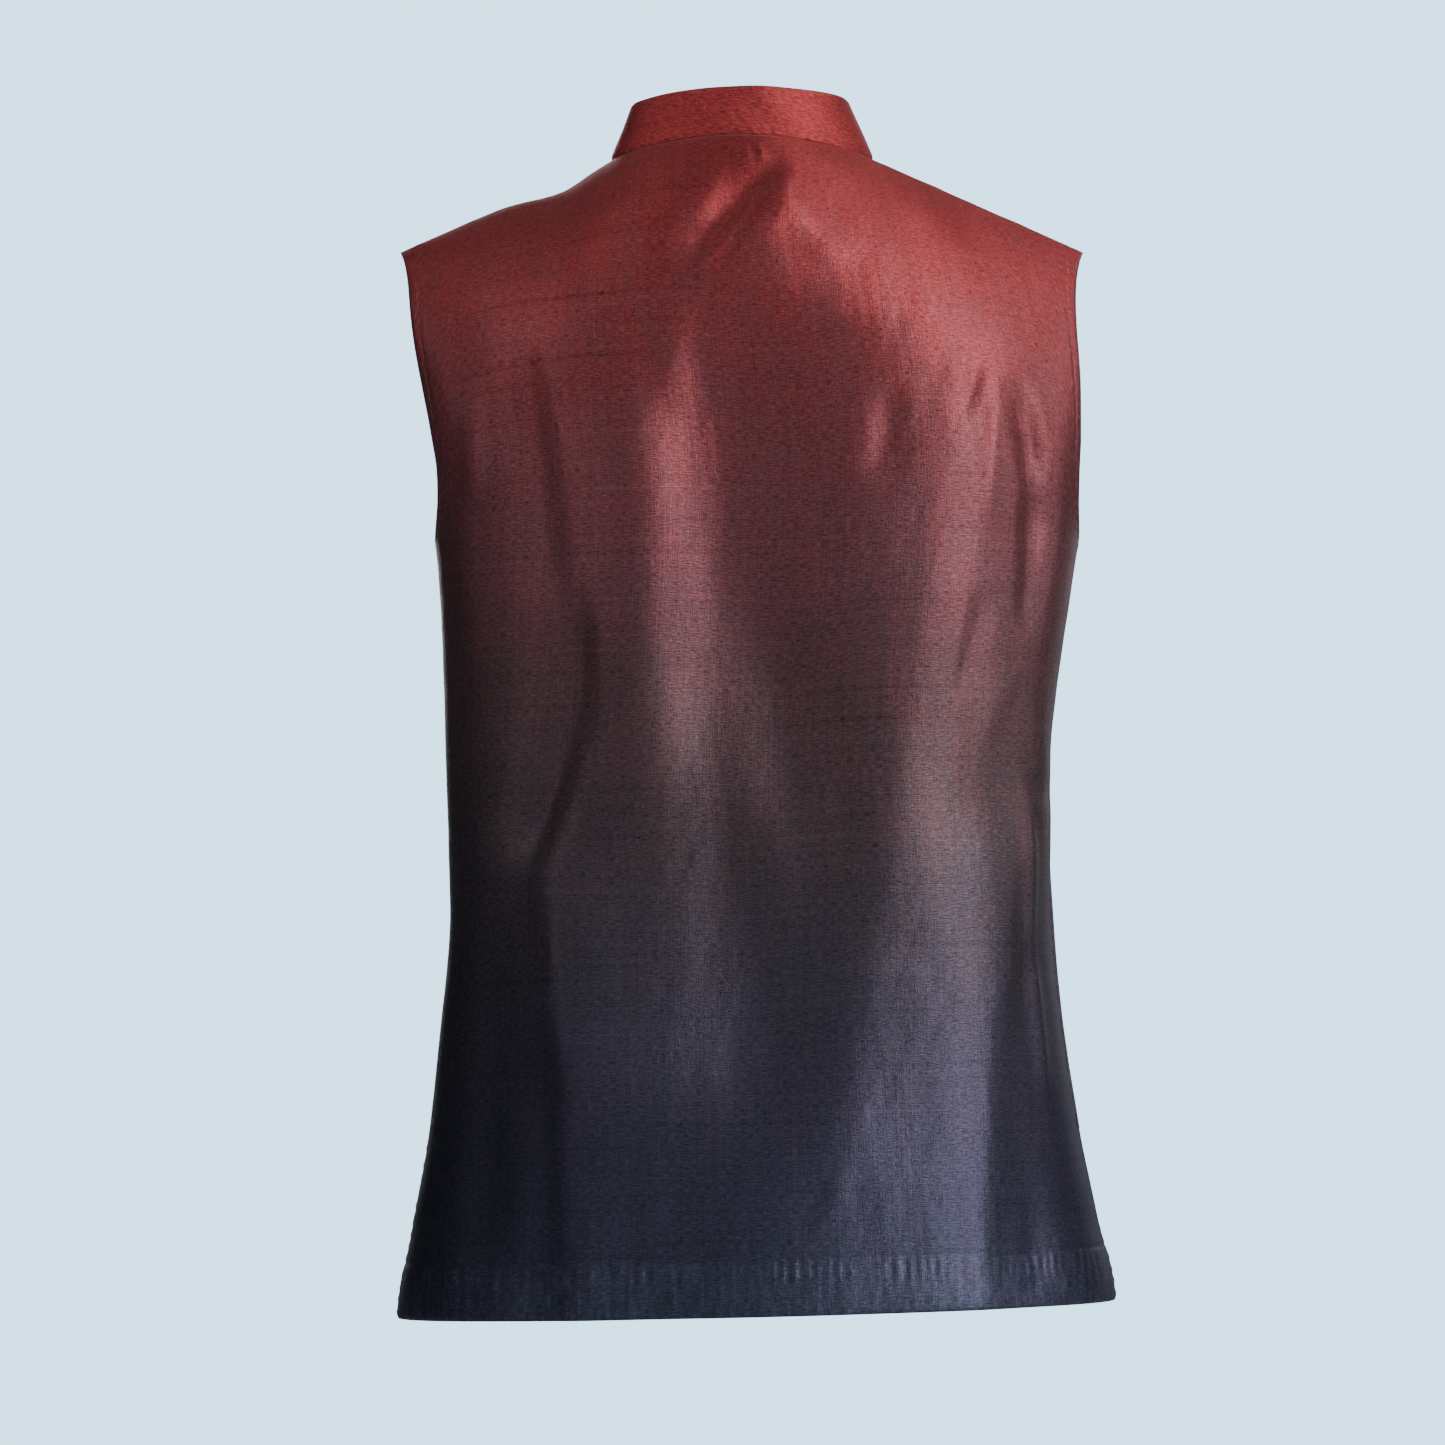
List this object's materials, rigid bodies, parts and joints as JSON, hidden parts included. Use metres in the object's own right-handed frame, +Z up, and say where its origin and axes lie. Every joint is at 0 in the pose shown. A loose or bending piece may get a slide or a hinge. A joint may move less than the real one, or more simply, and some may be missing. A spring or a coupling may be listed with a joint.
{
  "type": "stand-collar waistcoat",
  "caption": "Sleeveless button-front waistcoat with a stand collar, plain back and side vents, in the hollow form that it has when worn.",
  "frame": {"origin": "midway between the two points where the shoulder seams meet the collar, where the wearer's neck and shoulders hold the garment up", "axes": "+Z up along the wearer, +Y out of the wearer's back, +X to the wearer's left"},
  "size_m": [0.4436, 0.2718, 0.7539],
  "materials": {
    "body_cloth": "satin weave with fine slubs, dyed from red at the neck to navy at the hem",
    "collar_cloth": "satin weave with fine slubs, red",
    "button_cover": "covered in the same satin"
  },
  "bodies": {
    "root": {"back": "body_cloth", "front_left": "body_cloth", "front_right": "body_cloth", "collar": "collar_cloth", "button_1": "button_cover", "button_2": "button_cover", "button_3": "button_cover", "button_4": "button_cover", "button_5": "button_cover"}
  },
  "joints": []
}
